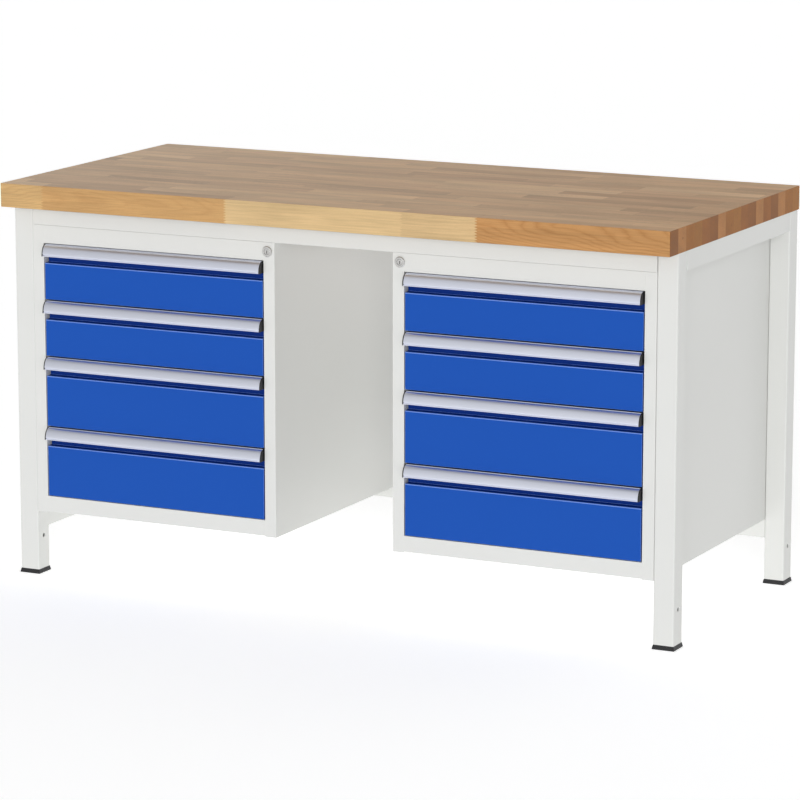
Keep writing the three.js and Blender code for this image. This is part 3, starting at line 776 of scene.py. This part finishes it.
def weld_seams(side):
    """Ground welds where the strips of the front frame meet its stiles."""
    (_, y0, z0), (_, _, z1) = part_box(f"{side}_cabinet_front_frame")
    (left, _, _), (right, _, highest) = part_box(f"{side}_drawer_1_front")
    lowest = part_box(f"{side}_drawer_4_front")[0][2]
    top_seam = (highest + OPENING_ABOVE_FRONT + WELD_END_GAP, z1 - WELD_END_GAP)
    bottom_seam = (z0 + WELD_FOOT_GAP, lowest - OPENING_BELOW_FRONT - WELD_END_GAP)
    wobble = random.Random(WELD_SEED)

    def section(x):
        middle = x + wobble.uniform(-WELD_SWAY, WELD_SWAY) * MM
        half = wobble.uniform(*WELD_HALF_WIDTHS) * MM
        rise = wobble.uniform(*WELD_RISES) * MM
        return [
            (middle - half, y0 + WELD_SUNK), (middle - half / 2, y0 - 0.8 * rise),
            (middle, y0 - rise), (middle + half / 2, y0 - 0.8 * rise),
            (middle + half, y0 + WELD_SUNK)]

    def beads(made):
        for x in (left - SIDE_GAP, right + SIDE_GAP):
            for start, end in (top_seam, bottom_seam):
                spacing = (end - start) / WELD_STEPS
                heights = [start + spacing * step for step in range(WELD_STEPS + 1)]
                skin(made, [[made.verts.new((u, v, z)) for u, v in section(x)] for z in heights])

    piece = new_piece(f"{side}_front_frame_welds", beads, "root", "grey_paint")
    soften(piece, 0.05 * MM, angle=80)


# ---------------------------------------------------------------- locks and hidden fasteners

KEYWAY_HALF_WIDTH = 0.75 * MM
KEYWAY_RISE = 1.95 * MM
KEYWAY_FALL = 3.95 * MM
# Black flaps inside the keyway: painted shade.
KEYWAY_SHADE_DEPTH = 0.7 * MM
KEYWAY_SHADE_VALLEY = 0.6 * MM
KEYWAY_SHADE_THICKNESS = 1.2 * MM
KEYWAY_SHADE_SEAM = 0.05 * MM


def keyway_painted_shade(side):
    """Two black flaps inside the keyway that meet in a shallow valley: painted shade that darkens
    the slot.
    """
    low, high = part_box(f"{side}_lock_housing")
    x, z = (low[0] + high[0]) / 2, (low[2] + high[2]) / 2
    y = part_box(f"{side}_lock_plug")[0][1] + KEYWAY_SHADE_DEPTH
    rear = y + KEYWAY_SHADE_THICKNESS

    def flaps(made):
        for way in (-1, 1):
            edge, seam = x + way * KEYWAY_HALF_WIDTH, x + way * KEYWAY_SHADE_SEAM
            flap = [(edge, y), (seam, y + KEYWAY_SHADE_VALLEY), (seam, rear), (edge, rear)]
            prism(made, flap, "Z", z - KEYWAY_FALL, z + KEYWAY_RISE)

    piece = new_piece(f"{side}_keyway_painted_shade", flaps, f"{side}_lock_plug", "black_plastic")
    soften(piece, 0.05 * MM)


RIVET_INSET = 12 * MM
RIVET_RADIUS = 3.2 * MM
RIVET_HEIGHT = 1.3 * MM
RIVET_SPACES = 5


def back_rivets(side):
    """Blind rivets around the back panel."""
    (x0, _, z0), (x1, y1, z1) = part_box(f"{side}_cabinet_back")
    x0, x1, z0, z1 = x0 + RIVET_INSET, x1 - RIVET_INSET, z0 + RIVET_INSET, z1 - RIVET_INSET
    upright = [z0 + (z1 - z0) * step / RIVET_SPACES for step in range(RIVET_SPACES + 1)]
    level = [x0 + (x1 - x0) * step / RIVET_SPACES for step in range(1, RIVET_SPACES)]
    places = [(x, z) for x in (x0, x1) for z in upright] + [(x, z) for z in (z0, z1) for x in level]
    curve = arc(0, 0, RIVET_RADIUS, RIVET_HEIGHT, 0, 90, 6)
    head = [(0, -SUNK), (RIVET_RADIUS, -SUNK), *curve[:-1], (0, RIVET_HEIGHT)]

    def heads(made):
        for x, z in places:
            turned(made, head, (x, y1, z), "Y", 20)

    piece = new_piece(f"{side}_back_rivets", heads, "root", "zinc_steel")
    soften(piece, 0.1 * MM, angle=60)


# Radius and height above the rail's underside, in millimetres
WASHER_PROFILE = ((0, 0.2), (8, 0.2), (8, -1.4), (0, -1.4))
HEXAGON_PROFILE = ((0, -1.3), (7.2, -1.3), (7.5, -2), (7.5, -6.2), (6.6, -6.8), (0, -6.8))
WORKTOP_SCREW_SHARES = (0.15, 0.5, 0.85)


def worktop_screws():
    """Hexagon screws and washers that hold the worktop, under the long rails above the cabinets."""
    places = []
    for rail in ("front_top_rail", "rear_top_rail"):
        low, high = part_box(rail)
        middle = (low[1] + high[1]) / 2
        for side in SIDES:
            (left, _, _), (right, _, _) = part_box(f"{side}_drawer_1_tray")
            xs = [left + (right - left) * share for share in WORKTOP_SCREW_SHARES]
            places += [(x, middle, low[2]) for x in xs]

    def screws(made):
        for centre in places:
            for shape, steps in ((WASHER_PROFILE, 32), (HEXAGON_PROFILE, 6)):
                profile = [(radius * MM, height * MM) for radius, height in shape]
                turned(made, profile, centre, "Z", steps)

    piece = new_piece("worktop_screws", screws, "root", "zinc_steel")
    soften(piece, 0.2 * MM)


finish_cad_nodes()
for side in SIDES:
    for number in DRAWERS:
        grip(side, number)
        tray_details(side, number)
    for where in ("inner", "outer"):
        runner_rollers(side, where)
    weld_seams(side)
    keyway_painted_shade(side)
    back_rivets(side)
worktop_screws()


# ---------------------------------------------------------------- stage, light and camera

FLOOR_RADIUS = 60
FLOOR_GREY = (0.97, 0.97, 0.97, 1)
FLOOR_GLOW = 0.52
# Strength of the sky from low up to overhead, and its share towards the sides
SKY_LOW = 0.80
SKY_HIGH = 0.20
SKY_HEIGHTS = (0.65, 1.0)
SKY_SIDE = 0.0
# Name, azimuth from the front towards +X, elevation, strength and spread
SUNS = (("key", 25, 8, 1.18, 20), ("back", 155, 6, 0.30, 60))
# Lamp behind the bench that shines through the open back of the kneehole. Its beam is half as wide
# as it is high, so that it misses the back panels.
KNEEHOLE_LAMP = Vector((0.55, 1.50, 0.72))
KNEEHOLE_AIM = Vector((-0.13, -0.05, 0.66))
KNEEHOLE_CONE = 24
KNEEHOLE_SHAPE = (0.5, 1.0, 1.0)
KNEEHOLE_WATTS = 36
KNEEHOLE_SOFTNESS = 0.15
# A long lens to the right of the bench, looking slightly down
CAMERA_LENS = 176.52
CAMERA_SENSOR = 36
CAMERA_PLACE = (3.56722, -7.22036, 1.97897)
CAMERA_AZIMUTH = 26.28
CAMERA_DROP = 11.2
CAMERA_RANGE = 200


def floor():
    def disc(made):
        bmesh.ops.create_circle(made, cap_ends=True, radius=FLOOR_RADIUS, segments=96)

    mesh = mesh_of("floor", disc)
    material, tree, shader = new_material("studio_floor")
    shade = rescale(tree, noise(tree, place_in_metres(tree), 0.6, 2.0), 0.99, 1.0)
    tree.links.new(shaded(tree, FLOOR_GREY, shade), shader.inputs["Base Color"])
    shader.inputs["Roughness"].default_value = 0.9
    shader.inputs["Specular IOR Level"].default_value = 0.0
    shader.inputs["Emission Color"].default_value = (1, 1, 1, 1)
    shader.inputs["Emission Strength"].default_value = FLOOR_GLOW
    mesh.materials.append(material)
    floor_object = bpy.data.objects.new("floor", mesh)
    bpy.context.scene.collection.objects.link(floor_object)


def sky():
    """White sky, brightest near the horizon in front and behind, dim overhead and at the sides."""
    world = bpy.data.worlds.new("studio")
    bpy.context.scene.world = world
    world.use_nodes = True
    tree = world.node_tree
    background = tree.nodes["Background"]
    background.inputs["Color"].default_value = (1, 1, 1, 1)
    direction = split(tree, add(tree, "ShaderNodeTexCoord").outputs["Generated"])
    glow = ramp(tree, direction[2], *SKY_HEIGHTS, SKY_LOW, SKY_HIGH)
    sideways = calc(tree, "POWER", calc(tree, "ABSOLUTE", direction[0]), 2.0)
    glow = calc(tree, "MULTIPLY", glow, rescale(tree, sideways, 1.0, SKY_SIDE))
    tree.links.new(glow, background.inputs["Strength"])


def lamp(name, kind, strength, from_direction):
    light = bpy.data.lights.new(name, kind)
    light.energy = strength
    holder = bpy.data.objects.new(name, light)
    holder.rotation_mode = "QUATERNION"
    holder.rotation_quaternion = from_direction.to_track_quat("Z", "Y")
    bpy.context.scene.collection.objects.link(holder)
    return holder, light


def lamps():
    for name, azimuth, elevation, strength, spread in SUNS:
        a, e = math.radians(azimuth), math.radians(elevation)
        direction = Vector((math.sin(a) * math.cos(e), -math.cos(a) * math.cos(e), math.sin(e)))
        _, light = lamp(name, "SUN", strength, direction)
        light.angle = math.radians(spread)

    holder, light = lamp("kneehole_fill", "SPOT", KNEEHOLE_WATTS, KNEEHOLE_LAMP - KNEEHOLE_AIM)
    light.spot_size = math.radians(KNEEHOLE_CONE)
    light.spot_blend = 1.0
    light.shadow_soft_size = KNEEHOLE_SOFTNESS
    holder.location = KNEEHOLE_LAMP
    holder.scale = KNEEHOLE_SHAPE


def camera():
    lens = bpy.data.cameras.new("camera")
    lens.lens = CAMERA_LENS
    lens.sensor_width = CAMERA_SENSOR
    lens.clip_end = CAMERA_RANGE
    eye = bpy.data.objects.new("camera", lens)
    bpy.context.scene.collection.objects.link(eye)
    eye.location = CAMERA_PLACE
    eye.rotation_euler = (math.radians(90 - CAMERA_DROP), 0, math.radians(CAMERA_AZIMUTH))
    bpy.context.scene.camera = eye


floor()
sky()
lamps()
camera()
bpy.context.scene.view_settings.view_transform = "Standard"
